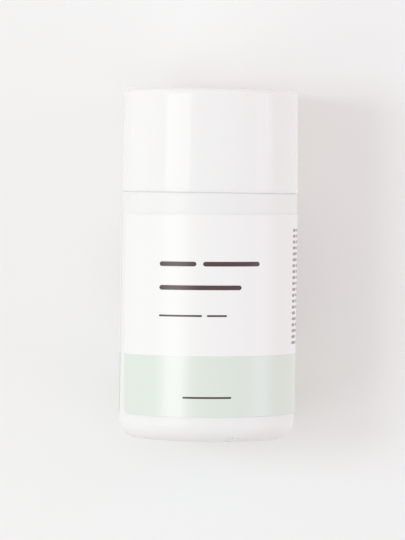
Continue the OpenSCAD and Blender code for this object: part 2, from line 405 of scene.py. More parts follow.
turning = turning_tree()
print(f"tree '{turning.name}' has {len(turning.nodes)} nodes")

# %% [markdown]
# `grown` runs a tree on a small starting mesh and keeps the result as a plain mesh. The modifier's
# inputs are set by each socket's identifier before the object is first evaluated. `volume_of` adds up
# signed tetrahedra, which is positive when the faces point outwards, and a shell that comes out
# negative is flipped.

# %% Running a tree
def mesh_object(name, points, edges=(), faces=()):
    mesh = bpy.data.meshes.new(name)
    mesh.from_pydata([Vector(p) for p in points], list(edges), list(faces))
    made = bpy.data.objects.new(name, mesh)
    bpy.context.scene.collection.objects.link(made)
    return made


def volume_of(mesh):
    mesh.calc_loop_triangles()
    total = 0.0
    for triangle in mesh.loop_triangles:
        a, b, c = (mesh.vertices[i].co for i in triangle.vertices)
        total += a.dot(b.cross(c)) / 6
    return total


def baked(source, crease=35):
    """The evaluated object as a plain mesh that faces outwards; the source and its modifiers go."""
    graph = bpy.context.evaluated_depsgraph_get()
    mesh = bpy.data.meshes.new_from_object(source.evaluated_get(graph))
    name = source.name
    bpy.data.objects.remove(source)
    if volume_of(mesh) < 0:
        mesh.flip_normals()
    mesh.set_sharp_from_angle(angle=math.radians(crease))
    mesh.name = name
    made = bpy.data.objects.new(name, mesh)
    bpy.context.scene.collection.objects.link(made)
    return made


def grown(name, start, tree, material, crease=35, **sizes):
    """Runs a tree on an object and returns the finished piece."""
    start.name = name
    modifier = start.modifiers.new("tree", "NODES")
    modifier.node_group = tree
    values = {size.replace("_", " "): value for size, value in sizes.items()}
    values["Material"] = material
    for item in tree.interface.items_tree:
        if item.in_out == "INPUT" and item.name in values:
            modifier[item.identifier] = values[item.name]
    return baked(start, crease)


def turned(name, outline, material, **sizes):
    """An outline of (radius, height) points, turned about the Z axis."""
    points = [(r, 0, z) for r, z in outline]
    start = mesh_object(name, points, [(i, i + 1) for i in range(len(points) - 1)])
    return grown(name, start, turning, material, **sizes)


def joined(name, parts):
    """Several plain meshes as one piece."""
    for part in parts:
        part.select_set(True)
    with bpy.context.temp_override(active_object=parts[0], selected_editable_objects=parts,
                                   selected_objects=parts, object=parts[0]):
        bpy.ops.object.join()
    parts[0].name = name
    parts[0].data.name = name
    parts[0].select_set(False)
    return parts[0]


def finish_piece(piece, body, slot, *nodes):
    """Hands a finished piece over: its body and the nodes it stands for; slot is not used."""
    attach(piece, body)
    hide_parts(*nodes)
    triangles = sum(len(p.vertices) - 2 for p in piece.data.polygons)
    print(f"{piece.name}: {triangles} triangles, {volume_of(piece.data) * 1e6:.2f} cm3")


# %% [markdown]
# ## Plastics
# All the plastics are white, so what tells them apart is how they shine. The helper starts a Principled
# material, and `skin` adds what a moulded surface has: a soft ripple, a finer peel, and a roughness
# that wanders a little. Every pattern reads Object coordinates in metres, so it stays with its piece.

# %% Plastic helpers
def new_material(name, colour, roughness, **sockets):
    """A Principled material; returns the material, its tree, its shader and its Object coordinates."""
    material = bpy.data.materials.new(name)
    material.use_nodes = True
    tree = material.node_tree
    shader = tree.nodes["Principled BSDF"]
    shader.inputs["Base Color"].default_value = (*colour, 1)
    shader.inputs["Roughness"].default_value = roughness
    for socket, value in sockets.items():
        shader.inputs[socket.replace("_", " ")].default_value = value
    place = add_node(tree, "ShaderNodeTexCoord").outputs["Object"]
    return material, tree, shader, place


def noise_field(tree, place, size, detail=2.0, stretch=(1, 1, 1), distortion=0.0):
    """Soft noise whose lumps are about the given size; stretch makes them longer along an axis."""
    scale = [1 / (size * s) for s in stretch]
    scaled = add_node(tree, "ShaderNodeMapping", {"Vector": place, "Scale": scale}).outputs[0]
    cloud = add_node(tree, "ShaderNodeTexNoise", {"Vector": scaled, "Scale": 1.0, "Detail": detail,
                                                  "Distortion": distortion})
    return cloud.outputs[0]


def spread(tree, value, low, high, start=0.3, stop=0.7):
    """Maps a noise value onto a range."""
    node = add_node(tree, "ShaderNodeMapRange", {0: value, 1: start, 2: stop, 3: low, 4: high})
    return node.outputs[0]


def bumped(tree, height, depth, under=None):
    """A Bump node of the given depth, on top of another one."""
    sockets = {"Strength": 1.0, "Distance": depth, "Height": height}
    if under is not None:
        sockets["Normal"] = under
    return add_node(tree, "ShaderNodeBump", sockets).outputs[0]


def skin(tree, shader, place, roughness, wander, ripple, peel, peel_depth, ripple_depth):
    """Ripple, peel and wandering roughness of a moulded surface."""
    low = bumped(tree, noise_field(tree, place, ripple, 1), ripple_depth)
    fine = bumped(tree, noise_field(tree, place, peel, 3), peel_depth, low)
    tree.links.new(fine, shader.inputs["Normal"])
    patches = noise_field(tree, place, 4 * ripple, 4)
    wandering = spread(tree, patches, roughness - wander, roughness + wander)
    tree.links.new(wandering, shader.inputs["Roughness"])
    return fine


def tinted(tree, shader, factor, colour, other):
    """Mixes two colours by a factor and paints with the result."""
    mixed = crossfade(tree, factor, (*colour, 1), (*other, 1))
    tree.links.new(mixed, shader.inputs["Base Color"])


def clouded(tree, shader, place, size, colour, other, detail=3):
    """Lets a colour drift towards another one in soft clouds; returns the clouds."""
    cloud = spread(tree, noise_field(tree, place, size, detail), 0, 1)
    tinted(tree, shader, cloud, colour, other)
    return cloud


# %% [markdown]
# ## The bottle's plastic
# The bottle is blown polyethylene, which comes out satin. Its wall still shows faint upright streaks
# from the tube of plastic that it was blown from, and a thin raised line where the halves of the mould
# met. The line is far thinner than a step of the mesh, so it is a bump that follows the distance from
# the parting plane.

# %% Bottle plastic
def bottle_material():
    colour = (0.868, 0.868, 0.868)
    material, tree, shader, place = new_material(
        "blown_polyethylene", colour, 0.38, Specular_IOR_Level=0.33, Subsurface_Weight=0.35,
        Subsurface_Radius=(1.0, 0.85, 0.75), Subsurface_Scale=1.2 * mm)
    fine = skin(tree, shader, place, roughness=0.38, wander=0.04, ripple=3.5 * mm, peel=0.5 * mm,
                peel_depth=0.006 * mm, ripple_depth=0.05 * mm)
    streaks = noise_field(tree, place, 0.7 * mm, 2, stretch=(1, 1, 60))
    streaked = bumped(tree, streaks, 0.008 * mm, fine)
    axes = add_node(tree, "ShaderNodeSeparateXYZ", {0: place}).outputs
    along_x = calculate(tree, "MULTIPLY", axes["X"], math.sin(seam_angle))
    along_y = calculate(tree, "MULTIPLY", axes["Y"], math.cos(seam_angle))
    from_seam = calculate(tree, "ABSOLUTE", calculate(tree, "SUBTRACT", along_x, along_y))
    seam = spread(tree, from_seam, 1, 0, 0, seam_w)
    tree.links.new(bumped(tree, seam, seam_h, streaked), shader.inputs["Normal"])
    clouded(tree, shader, place, 6 * mm, colour, (0.858, 0.858, 0.858))
    return material


bottle_plastic = bottle_material()
print(f"{bottle_plastic.name} has {len(bottle_plastic.node_tree.nodes)} nodes")

# %% [markdown]
# ## The bottle
# A blown bottle has one wall that is about as thick everywhere, a rounded heel, a floor pushed up so
# that it stands on a ring, and a square shoulder under the lid. Its neck is pressed in the mould from
# both sides, so it is thicker, with a bead and a thread. The outline goes from the axis underneath,
# round the outside, and back down the inside.

# %% Bottle wall
heel_in = body_r - heel_r
shoulder_in = body_r - shoulder_r
standing_r = heel_in + math.sqrt(heel_r ** 2 - heel_z ** 2)
standing_in = standing_r - standing_w
heel_start = math.degrees(math.atan2(-heel_z, standing_r - heel_in))
floor_angle = math.degrees(math.asin((floor_z - heel_z) / (heel_r - wall)))
bead_r = neck_r + 0.9 * mm
bead_z = shoulder_z + 1.6 * mm
bead_w = 1.4 * mm
inner_ledge_z = shoulder_z - wall

outside = eased([(0, push_up), (standing_in - push_up, push_up, 0.35 * mm), (standing_in, 0, 0.25 * mm),
                 (standing_r - 0.2 * mm, 0)])
outside += arc((heel_in, heel_z), heel_r, heel_start, 0, 16)
outside += arc((shoulder_in, shoulder_z - shoulder_r), shoulder_r, 0, 90, 12)
neck = eased([(shoulder_in, shoulder_z), (neck_r, shoulder_z, 0.5 * mm),
              (neck_r, bead_z - 0.45 * mm, 0.2 * mm), (bead_r, bead_z, 0.3 * mm),
              (bead_r, bead_z + bead_w, 0.3 * mm), (neck_r, bead_z + bead_w + 0.45 * mm, 0.2 * mm),
              (neck_r, mouth_z - 0.4 * mm, 0.3 * mm), (neck_r - 0.4 * mm, mouth_z, 0.3 * mm),
              (bore_r, mouth_z, 0.25 * mm), (bore_r, inner_ledge_z, 0.5 * mm),
              (shoulder_in, inner_ledge_z)])
inside = arc((shoulder_in, shoulder_z - shoulder_r), shoulder_r - wall, 90, 0, 6)
inside += arc((heel_in, heel_z), heel_r - wall, 0, floor_angle, 10)
bottle_outline = outside + neck[1:] + inside[1:] + [(0, floor_z)]
bottle_wall = turned("bottle_wall", bottle_outline, bottle_plastic, Steps_round=256)
print(f"outline of {len(bottle_outline)} points")
print(f"standing ring from {standing_in / mm:.2f} to {standing_r / mm:.2f} mm")

# %% [markdown]
# A thread is a ridge that follows a helix. The tree draws the helix with Curve Spiral, sweeps a
# trapezoid along it with Curve to Mesh, and lets the profile shrink at both ends, as the cutter leaves
# a real mould. A Screw modifier makes a helix as well, but its ends are cut off square. The same tree
# makes inward threads: then the trapezoid points to the axis.

# %% Thread tree
def thread_tree():
    tree, sizes = new_tree(
        "screw thread", Foot_radius=17.2 * mm, Rise=1.5 * mm, Foot_width=2 * mm, Crest_width=0.9 * mm,
        Lead=4 * mm, Turns=1.5, Start_height=0.0, Start_angle=0.0, Outwards=1.0, Steps_per_turn=96,
        Fade=0.07)
    climb = calculate(tree, "MULTIPLY", sizes["Lead"], sizes["Turns"])
    helix = add_node(tree, "GeometryNodeCurveSpiral", {
        "Resolution": sizes["Steps per turn"], "Rotations": sizes["Turns"],
        "Start Radius": sizes["Foot radius"], "End Radius": sizes["Foot radius"], "Height": climb})
    upright = add_node(tree, "GeometryNodeSetCurveNormal", {0: helix.outputs[0]}, mode="Z_UP")
    trapezoid = add_node(tree, "GeometryNodeCurvePrimitiveQuadrilateral", {
        "Bottom Width": sizes["Foot width"], "Top Width": sizes["Crest width"], "Height": sizes["Rise"],
        "Offset": 0.0}, mode="TRAPEZOID")
    half_rise = calculate(tree, "MULTIPLY", sizes["Rise"], 0.5)
    based = add_node(tree, "GeometryNodeTransform", {
        0: trapezoid.outputs[0], "Translation": vector(tree, y=half_rise)})
    side = calculate(tree, "MULTIPLY", sizes["Outwards"], math.pi / 2)
    profile = add_node(tree, "GeometryNodeTransform", {
        0: based.outputs[0], "Rotation": vector(tree, z=side)})
    along = add_node(tree, "GeometryNodeSplineParameter").outputs["Factor"]
    nearest = calculate(tree, "MINIMUM", along, calculate(tree, "SUBTRACT", 1, along))
    grown_share = calculate(tree, "DIVIDE", nearest, sizes["Fade"], clamp=True)
    scale = calculate(tree, "ADD", 0.1, calculate(tree, "MULTIPLY", 0.9, grown_share))
    ridge = add_node(tree, "GeometryNodeCurveToMesh", {
        0: upright.outputs[0], 1: profile.outputs[0], "Scale": scale, "Fill Caps": True})
    placed = add_node(tree, "GeometryNodeTransform", {
        0: ridge.outputs[0], "Translation": vector(tree, z=sizes["Start height"]),
        "Rotation": vector(tree, z=sizes["Start angle"])})
    return end_tree(tree, sizes, placed.outputs[0])


threading = thread_tree()
print(f"tree '{threading.name}' has {len(threading.nodes)} nodes")


def threaded(name, material, **sizes):
    """A thread ridge; the tree starts from nothing, so a single point carries it."""
    return grown(name, mesh_object(name, [(0, 0, 0)]), threading, material, crease=25, **sizes)


# %% [markdown]
# The bottle's thread makes one and a half turns and ends two millimetres below the mouth. Its foot is
# sunk a little into the neck, so that no gap shows where the ridge meets the wall.

# %% Bottle thread
thread_start = math.radians(30)
thread_foot_z = mouth_z - 2 * mm - lead * thread_turns
bottle_thread = threaded(
    "bottle_thread", bottle_plastic, Foot_radius=neck_r - 0.3 * mm, Rise=1.5 * mm, Foot_width=2.2 * mm,
    Crest_width=0.8 * mm, Lead=lead, Turns=thread_turns, Start_height=thread_foot_z,
    Start_angle=thread_start, Outwards=1.0)
low = Vector([min(v.co[i] for v in bottle_thread.data.vertices) for i in range(3)])
high = Vector([max(v.co[i] for v in bottle_thread.data.vertices) for i in range(3)])
print(f"thread reaches {high.x / mm:.2f} mm, z {low.z / mm:.2f} to {high.z / mm:.2f} mm")

# %% [markdown]
# Where the mould's halves pinched the soft tube shut, a blown bottle keeps a scar: a low ridge across
# the push-up and a small lump on the heel. They could be sculpted, but both are so small that a
# flattened ball, half sunk in the wall, has the right shape.

# %% Pinch-off scar
def lump(name, radii, place, material):
    """A smooth ball, squeezed to three radii along, across and up the mould's parting plane."""
    ball = turned(name, arc((0, 0), mm, -90, 90, 12), material, Steps_round=32)
    shape = Matrix.Diagonal((*[radius / mm for radius in radii], 1))
    ball.data.transform(Matrix.Rotation(seam_angle, 4, "Z") @ Matrix.Translation(place) @ shape)
    return ball


scar_radii = (12 * mm, 0.7 * mm, 0.4 * mm)
lump_radii = (0.9 * mm, 1.9 * mm, 0.55 * mm)
lump_place = (21.2 * mm, 0, 0.62 * mm)
scar = lump("scar", scar_radii, (0, 0, push_up), bottle_plastic)
heel_lump = lump("heel_lump", lump_radii, lump_place, bottle_plastic)
bottle = joined("bottle_dressed", [bottle_wall, bottle_thread, scar, heel_lump])
finish_piece(bottle, "jar", "bottle_plastic", "bottle")

# %% [markdown]
# ## Lid plastics
# The lid is injection moulded from polypropylene against a polished mould, so it is the glossiest
# piece. Its insert and the retainer come from plainer moulds and are satin.

# %% Lid plastic
def lid_material():
    colour = (0.888, 0.888, 0.888)
    material, tree, shader, place = new_material(
        "glossy_polypropylene", colour, 0.09, Specular_IOR_Level=0.25, Subsurface_Weight=0.35,
        Subsurface_Radius=(1.0, 0.85, 0.75), Subsurface_Scale=1.0 * mm)
    fine = skin(tree, shader, place, roughness=0.09, wander=0.02, ripple=7 * mm, peel=0.35 * mm,
                peel_depth=0.0012 * mm, ripple_depth=0.03 * mm)
    scuffs = noise_field(tree, place, 0.09 * mm, 2, stretch=(30, 30, 1), distortion=0.4)
    fine_scuffs = spread(tree, scuffs, 0, 1, 0.68, 0.75)
    tree.links.new(bumped(tree, fine_scuffs, 0.0006 * mm, fine), shader.inputs["Normal"])
    clouded(tree, shader, place, 9 * mm, colour, (0.882, 0.882, 0.882))
    return material


def satin_material(name, colour, roughness):
    material, tree, shader, place = new_material(
        name, colour, roughness, Subsurface_Weight=0.12,
        Subsurface_Radius=(1.0, 0.9, 0.8), Subsurface_Scale=1.2 * mm)
    skin(tree, shader, place, roughness, wander=0.05, ripple=3 * mm, peel=0.25 * mm,
         peel_depth=0.003 * mm, ripple_depth=0.02 * mm)
    clouded(tree, shader, place, 4 * mm, colour, tuple(0.97 * c for c in colour))
    return material


lid_plastic = lid_material()
insert_plastic = satin_material("satin_polypropylene", (0.880, 0.880, 0.870), 0.42)
retainer_plastic = satin_material("natural_polyethylene", (0.890, 0.890, 0.880), 0.36)
for plastic in (lid_plastic, insert_plastic, retainer_plastic):
    print(f"{plastic.name} has {len(plastic.node_tree.nodes)} nodes")

# %% [markdown]
# ## The lid's outer shell
# The shell has a little draft so that it leaves its mould, a rounded top edge, a ring inside that
# presses on the insert, and a low bead near the rim that the insert snaps behind. The rim's thin lip
# reaches down over the bottle's rounded shoulder and follows it with a hair's breadth of room, so only
# a fine shadow shows between lid and bottle. A small dimple in the middle of the top is where the
# plastic was let in.

# %% Lid shell
draft = math.atan((lid_r - lid_top_r) / (lid_high.z - lid_low.z))
lid_edge = 1.8 * mm
lid_h = lid_high.z - lid_low.z
roof_z = lid_high.z - 1.6 * mm
edge_z = lid_high.z - lid_edge
edge_x = lid_r - (lid_h - lid_edge) * math.tan(draft) - lid_edge / math.cos(draft)
rim_in = lid_r - lid_wall
ring_r, ring_t = 11 * mm, 1.2 * mm
gate_r, gate_depth = 2.2 * mm, 0.18 * mm
seat_z = lid_low.z + 0.6 * mm
lip_z = lid_low.z - 0.45 * mm
seat_room = 0.06 * mm
seat_r = shoulder_r + seat_room
snap_r = rim_in - 0.3 * mm
seat_end = math.degrees(math.asin((lip_z - shoulder_z + shoulder_r) / seat_r))

seat = arc((shoulder_in, shoulder_z - shoulder_r), seat_r, 70, seat_end, 8)
shell_outside = eased([seat[-1], (lid_r, lip_z, 0.12 * mm),
                       (edge_x + lid_edge * math.cos(draft), edge_z + lid_edge * math.sin(draft))])
shell_outside += arc((edge_x, edge_z), lid_edge, math.degrees(draft) + 4, 90, 14)
gate_z = lid_high.z - gate_depth
gate = eased([
    (edge_x - mm, lid_high.z), (gate_r, lid_high.z, 0.25 * mm), (gate_r - 0.3 * mm, gate_z, 0.2 * mm),
    (0.6 * mm, gate_z), (0.45 * mm, lid_high.z - 0.05 * mm), (0, lid_high.z - 0.02 * mm)])
shell_inside = eased([
    (0, roof_z), (ring_r, roof_z, 0.3 * mm), (ring_r, insert_high.z, 0.15 * mm),
    (ring_r + ring_t, insert_high.z, 0.15 * mm), (ring_r + ring_t, roof_z, 0.3 * mm),
    (lid_top_r - lid_wall, roof_z, 0.8 * mm), (rim_in - 0.01 * mm, seat_z + 0.42 * mm, 0.1 * mm),
    (snap_r, seat_z + 0.3 * mm, 0.08 * mm), (snap_r, seat_z + 0.2 * mm, 0.08 * mm),
    (rim_in, seat_z, 0.1 * mm), seat[0]])
shell_outline = shell_outside + gate + shell_inside + seat[1:]
lid_shell = turned("lid_shell_dressed", shell_outline, lid_plastic, Steps_round=256)
finish_piece(lid_shell, "lid", "lid_plastic", "lid_shell")

# %% [markdown]
# ## The lid's threaded insert
# A tall smooth lid over a narrower neck needs a second wall. The insert is a cup with a flange that
# closes the rim and the thread inside. The thread runs just under the bottle's, and bears on it from
# below when the lid is tight.

# %% Insert
insert_out = insert_in + insert_t
insert_flange_r = rim_in - 0.15 * mm
insert_roof = insert_high.z - insert_t
flange_top = insert_low.z + 1.2 * mm
insert_outline = eased([
    (0, insert_roof), (insert_in, insert_roof, 0.4 * mm), (insert_in, insert_low.z, 0.3 * mm),
    (insert_flange_r, insert_low.z, 0.25 * mm), (insert_flange_r, flange_top, 0.25 * mm),
    (insert_out, flange_top, 0.4 * mm), (insert_out, insert_high.z, 0.5 * mm), (0, insert_high.z)])
insert_wall = turned("insert_wall", insert_outline, insert_plastic, Steps_round=192)

below_bottle_thread = 1.477 * mm
insert_thread = threaded(
    "insert_thread", insert_plastic, Foot_radius=insert_in + 0.3 * mm, Rise=1.35 * mm,
    Foot_width=1.9 * mm, Crest_width=0.7 * mm, Lead=lead, Turns=thread_turns,
    Start_height=thread_foot_z - below_bottle_thread, Start_angle=thread_start, Outwards=-1.0)
print(f"insert wall from {insert_in / mm:.2f} to {insert_out / mm:.2f} mm")

# %% [markdown]
# Ribs round the insert's outside grip the shell and turn with it. They are copies of one block, so a
# tree puts an instance on each point of a circle. An Array modifier could do that too, but it needs a
# second object to turn about.

# %% Drive ribs
def rib_tree():
    tree, sizes = new_tree("drive ribs", Count=24, Inner_radius=19.75 * mm, Outer_radius=21.95 * mm,
                           Width=1 * mm, Foot_height=68.2 * mm, Top_height=86.7 * mm)
    middle = calculate(tree, "MULTIPLY", 0.5, calculate(
        tree, "ADD", sizes["Inner radius"], sizes["Outer radius"]))
    ring = add_node(tree, "GeometryNodeCurvePrimitiveCircle", {"Resolution": sizes["Count"]})
    tree.links.new(middle, ring.inputs["Radius"])
    deep = calculate(tree, "SUBTRACT", sizes["Outer radius"], sizes["Inner radius"])
    tall = calculate(tree, "SUBTRACT", sizes["Top height"], sizes["Foot height"])
    block = add_node(tree, "GeometryNodeMeshCube", {
        "Size": vector(tree, x=deep, y=sizes["Width"], z=tall)})
    index = add_node(tree, "GeometryNodeInputIndex").outputs[0]
    angle = calculate(tree, "MULTIPLY", 2 * math.pi, calculate(tree, "DIVIDE", index, sizes["Count"]))
    rotation = add_node(tree, "FunctionNodeEulerToRotation", {0: vector(tree, z=angle)})
    copies = add_node(tree, "GeometryNodeInstanceOnPoints", {
        0: ring.outputs[0], "Instance": block.outputs[0], "Rotation": rotation.outputs[0]})
    mid_height = calculate(tree, "MULTIPLY", 0.5, calculate(
        tree, "ADD", sizes["Foot height"], sizes["Top height"]))
    placed = add_node(tree, "GeometryNodeTransform", {
        0: copies.outputs[0], "Translation": vector(tree, z=mid_height)})
    return end_tree(tree, sizes, placed.outputs[0])


rib_sink = 0.6 * mm
insert_ribs = grown("insert_ribs", mesh_object("insert_ribs", [(0, 0, 0)]), rib_tree(), insert_plastic,
                    Count=24, Foot_height=flange_top - rib_sink, Top_height=insert_high.z - rib_sink)
lid_insert = joined("lid_insert_dressed", [insert_wall, insert_thread, insert_ribs])
finish_piece(lid_insert, "lid", "insert_plastic", "lid_insert")

# %% [markdown]
# ## The sponge retainer
# The retainer is a flanged cup pressed into the mouth. Its floor falls towards the hole like a funnel,
# so remover that the finger brings up drains back.

# %% Retainer
tube_r = bore_r - 0.1 * mm
flange_r = neck_r - 0.3 * mm
retainer_t = 1 * mm
throat_r = 10 * mm
tube_floor = retainer_low.z + 1.6 * mm
seal_z = retainer_high.z
cup_r = tube_r - retainer_t
flange_z = mouth_z + 0.02 * mm
retainer_outline = eased([
    (tube_r, flange_z), (flange_r, flange_z, 0.15 * mm), (flange_r, seal_z, 0.35 * mm),
    (cup_r, seal_z, 0.4 * mm), (cup_r, tube_floor + retainer_t, 0.8 * mm),
    (throat_r, retainer_low.z + retainer_t, 0.4 * mm), (throat_r, retainer_low.z, 0.3 * mm),
    (tube_r, tube_floor, 0.4 * mm), (tube_r, flange_z)])
retainer = turned("sponge_retainer_dressed", retainer_outline, retainer_plastic, Steps_round=192)
finish_piece(retainer, "jar", "retainer_plastic", "sponge_retainer")

# %% [markdown]
# ## The sealing disc
# The disc in the roof of the lid is punched from foamed sheet, and the retainer's flange has pressed a
# shallow ring into it. That ring is part of the outline. The sheet's closed cells are too fine for the
# mesh, so they are a bump that follows a Voronoi pattern. The same pattern darkens the colour in the
# middle of each cell, where the bump sinks, as painted shade.

# %% Sealing disc
def liner_material():
    colour = (0.850, 0.848, 0.838)
    material, tree, shader, place = new_material("foamed_sheet", colour, 0.60)
    cells = add_node(tree, "ShaderNodeTexVoronoi", {"Vector": place, "Scale": 1 / (0.35 * mm)})
    cell_depth_and_shade = spread(tree, cells.outputs["Distance"], 0, 1, 0.05, 0.45)
    tree.links.new(bumped(tree, cell_depth_and_shade, 0.03 * mm), shader.inputs["Normal"])
    # painted shade: the colour darkens towards the middle of each cell, where the bump sinks
    tinted(tree, shader, cell_depth_and_shade, (0.80, 0.797, 0.785), colour)
    return material


pressed_z = liner_low.z + 0.12 * mm
liner_r = insert_in - 0.4 * mm
liner_outline = eased([
    (0, liner_low.z), (cup_r - 0.6 * mm, liner_low.z, 0.3 * mm),
    (cup_r - 0.2 * mm, pressed_z, 0.2 * mm), (flange_r + 0.1 * mm, pressed_z, 0.2 * mm),
    (flange_r + 0.5 * mm, liner_low.z, 0.3 * mm),
    (liner_r, liner_low.z, 0.15 * mm), (liner_r, liner_high.z, 0.15 * mm), (0, liner_high.z)])
liner = turned("lid_liner_dressed", liner_outline, liner_material(), Steps_round=160)
finish_piece(liner, "seal", "liner_foam", "lid_liner")

# %% [markdown]
# ## Foam
# The foam is open-celled and cream. Its skin is all small round pits, so two sizes of Voronoi cells
# shape its bump. The larger cells also darken the colour towards the middle of each pit, which is
# painted shade.

# %% Foam material
def foam_material():
    colour = (0.850, 0.800, 0.680)
    material, tree, shader, place = new_material(
        "open_cell_foam", colour, 0.85, Subsurface_Weight=0.25,
        Subsurface_Radius=(1.0, 0.8, 0.5), Subsurface_Scale=1.5 * mm, Sheen_Weight=0.2)
    cells = add_node(tree, "ShaderNodeTexVoronoi", {"Vector": place, "Scale": 1 / (0.55 * mm)})
    cell_depth_and_shade = spread(tree, cells.outputs["Distance"], 0, 1, 0.10, 0.55)
    small = add_node(tree, "ShaderNodeTexVoronoi", {"Vector": place, "Scale": 1 / (0.25 * mm)})
    low = bumped(tree, cell_depth_and_shade, 0.18 * mm)
    tree.links.new(bumped(tree, small.outputs["Distance"], 0.06 * mm, low), shader.inputs["Normal"])
    # painted shade: the colour darkens towards the middle of each pit, where the bump sinks
    tinted(tree, shader, cell_depth_and_shade, (0.660, 0.600, 0.470), colour)
    return material


foam = foam_material()
print(f"{foam.name} has {len(foam.node_tree.nodes)} nodes")

# %% [markdown]
# The largest pits show at the edge of the finger hole, so they are in the mesh itself: each point sinks
# by how near it is to the middle of a cell. A Displace modifier could do it, but the noise function
# gives each point its depth directly, and the pieces stay plain meshes.

# %% Pits
pit_depth, pit_spacing = 0.30 * mm, 0.9 * mm
pit_reach = 0.55  # of the spacing


def pitted(piece):
    """Sinks every point towards the inside of the foam by a cell pattern."""
    mesh = piece.data
    normals = [v.normal.copy() for v in mesh.vertices]
    for vertex, normal in zip(mesh.vertices, normals):
        distances = noise.voronoi(vertex.co / pit_spacing)[0]
        vertex.co -= normal * pit_depth * max(0.0, 1 - distances[0] / pit_reach)
    mesh.update()


# %% [markdown]
# The foam comes in two pieces: an uncut pad on the bottle's floor, and a sleeve above it with the
# finger hole, pressed up into the neck. Both keep a little room to the wall. The finger hole's wall and
# top are seen when the lid is off, so the mesh is fine there and coarse where the bottle hides it.

# %% Foam pieces
foam_room = 0.2 * mm
foam_r = body_r - wall - foam_room
foam_heel_r = heel_r - wall - foam_room
plug_r = bore_r - foam_room
hole_r = 8 * mm
fine_step, coarse_step = 0.4 * mm, 1.5 * mm
foam_floor_angle = math.degrees(math.asin((floor_z - heel_z) / foam_heel_r))

pad_edge = arc((heel_in, heel_z), foam_heel_r, foam_floor_angle, 0, 6)
pad_outline = [(0, floor_z)] + pad_edge + spaced([(foam_r, pad_high.z), (hole_r, pad_high.z)], 1.2 * mm)
pad_outline += spaced([(hole_r, pad_high.z), (0, pad_high.z)], fine_step)[1:]
base_pad = turned("sponge_base_pad_dressed", pad_outline, foam, Steps_round=144)
pitted(base_pad)
finish_piece(base_pad, "jar", "foam", "sponge_base_pad")

foam_top = inner_ledge_z - foam_room
foam_corner = shoulder_r - wall - foam_room
sleeve_outline = spaced([(hole_r, pad_high.z), (foam_r, pad_high.z)], coarse_step)
sleeve_outline += spaced([(foam_r, pad_high.z), (foam_r, foam_top - foam_corner)], 4 * mm)[1:]
sleeve_outline += arc((shoulder_in, foam_top - foam_corner), foam_corner, 0, 90, 3)[1:]
plug = [(shoulder_in, foam_top), (plug_r, foam_top), (plug_r, sleeve_high.z)]
sleeve_outline += spaced(plug, 2 * mm)[1:]
lip = eased([(plug_r, sleeve_high.z), (hole_r + mm, sleeve_high.z, 0.5 * mm),
             (hole_r, sleeve_high.z - mm, 0.8 * mm), (hole_r, pad_high.z)])
sleeve_outline += spaced(lip, fine_step)[1:]
sleeve = turned("sponge_sleeve_dressed", sleeve_outline, foam, Steps_round=160)
pitted(sleeve)
finish_piece(sleeve, "jar", "foam", "sponge_sleeve")

# %% [markdown]
# ## The label
# The label is one strip of printed film with rounded corners, wrapped round the bottle so that its two
# ends stop short of each other. It went on a touch askew: its right side sits a quarter of a millimetre
# higher. It could be cut from the bottle's wall, but then it couldn't stand out from it. So it is a
# sheet of its own, built column by column. A column near an end is shorter, which is what rounds the
# corners, and the columns lie closer together there.

# %% Label sheet
label_r = label_high.x
label_t = 0.2 * mm
corner_r = 2.5 * mm
label_start, label_sweep, front = 201, 346, 270  # degrees
first_end = math.radians(label_start) - math.radians(front)
last_end = first_end + math.radians(label_sweep)
label_slope = math.tan(math.radians(0.6))
band_top = label_low.z + 16.2 * mm
corner_columns, middle_columns = 8, 240
band_rows, white_rows = 4, 9
rows = band_rows + white_rows


def on_label(s, z):
    """The point of the label's face at height z and a distance s round from the front's middle."""
    across = label_r * math.sin(s / label_r)
    return Vector((across, -label_r * math.cos(s / label_r), z + label_slope * across))


def column_places():
    """Places round the label, closer together where the corners are rounded."""
    quarter = math.pi / 2
    corner = [corner_r * (1 - math.cos(quarter * i / corner_columns)) for i in range(corner_columns)]
    start, stop = first_end * label_r, last_end * label_r
    straight = stop - start - 2 * corner_r
    middle = [start + corner_r + straight * i / middle_columns for i in range(middle_columns + 1)]
    return [start + c for c in corner] + middle + [stop - c for c in reversed(corner)]


def label_sheet():
    """The film's face; its rows of faces meet at the top of the green band, whose faces come second."""
    points, faces = [], []
    places = column_places()
    for s in places:
        from_end = min(s - places[0], places[-1] - s, corner_r)
        cut = corner_r - math.sqrt(max(0.0, corner_r ** 2 - (corner_r - from_end) ** 2))
        low, high = label_low.z + cut, label_high.z - cut
        heights = [low + (band_top - low) * k / band_rows for k in range(band_rows)]
        heights += [band_top + (high - band_top) * k / white_rows for k in range(white_rows + 1)]
        points += [on_label(s, z) for z in heights]
    for i in range(len(places) - 1):
        for k in range(rows):
            a = i * (rows + 1) + k
            faces.append((a, a + rows + 1, a + rows + 2, a + 1))
    sheet = mesh_object("label_dressed", points, (), faces)
    for face in sheet.data.polygons:
        face.material_index = 1 if face.index % rows < band_rows else 0
    return sheet


sheet = label_sheet()
print(f"label {(last_end - first_end) * label_r / mm:.1f} mm long, {len(sheet.data.polygons)} faces")

# %% [markdown]
# The green ink lies thick and shines more than the bare film, so the band's faces take a material of
# their own. A Solidify modifier then gives the film its thickness, towards the bottle.

# %% Label film
def film_material(name, colour, roughness, **sockets):
    material, tree, shader, place = new_material(name, colour, roughness, **sockets)
    skin(tree, shader, place, roughness, wander=0.03, ripple=5 * mm, peel=0.22 * mm,
         peel_depth=0.002 * mm, ripple_depth=0.02 * mm)
    clouded(tree, shader, place, 0.12 * mm, tuple(0.985 * c for c in colour), colour, detail=2)
    return material


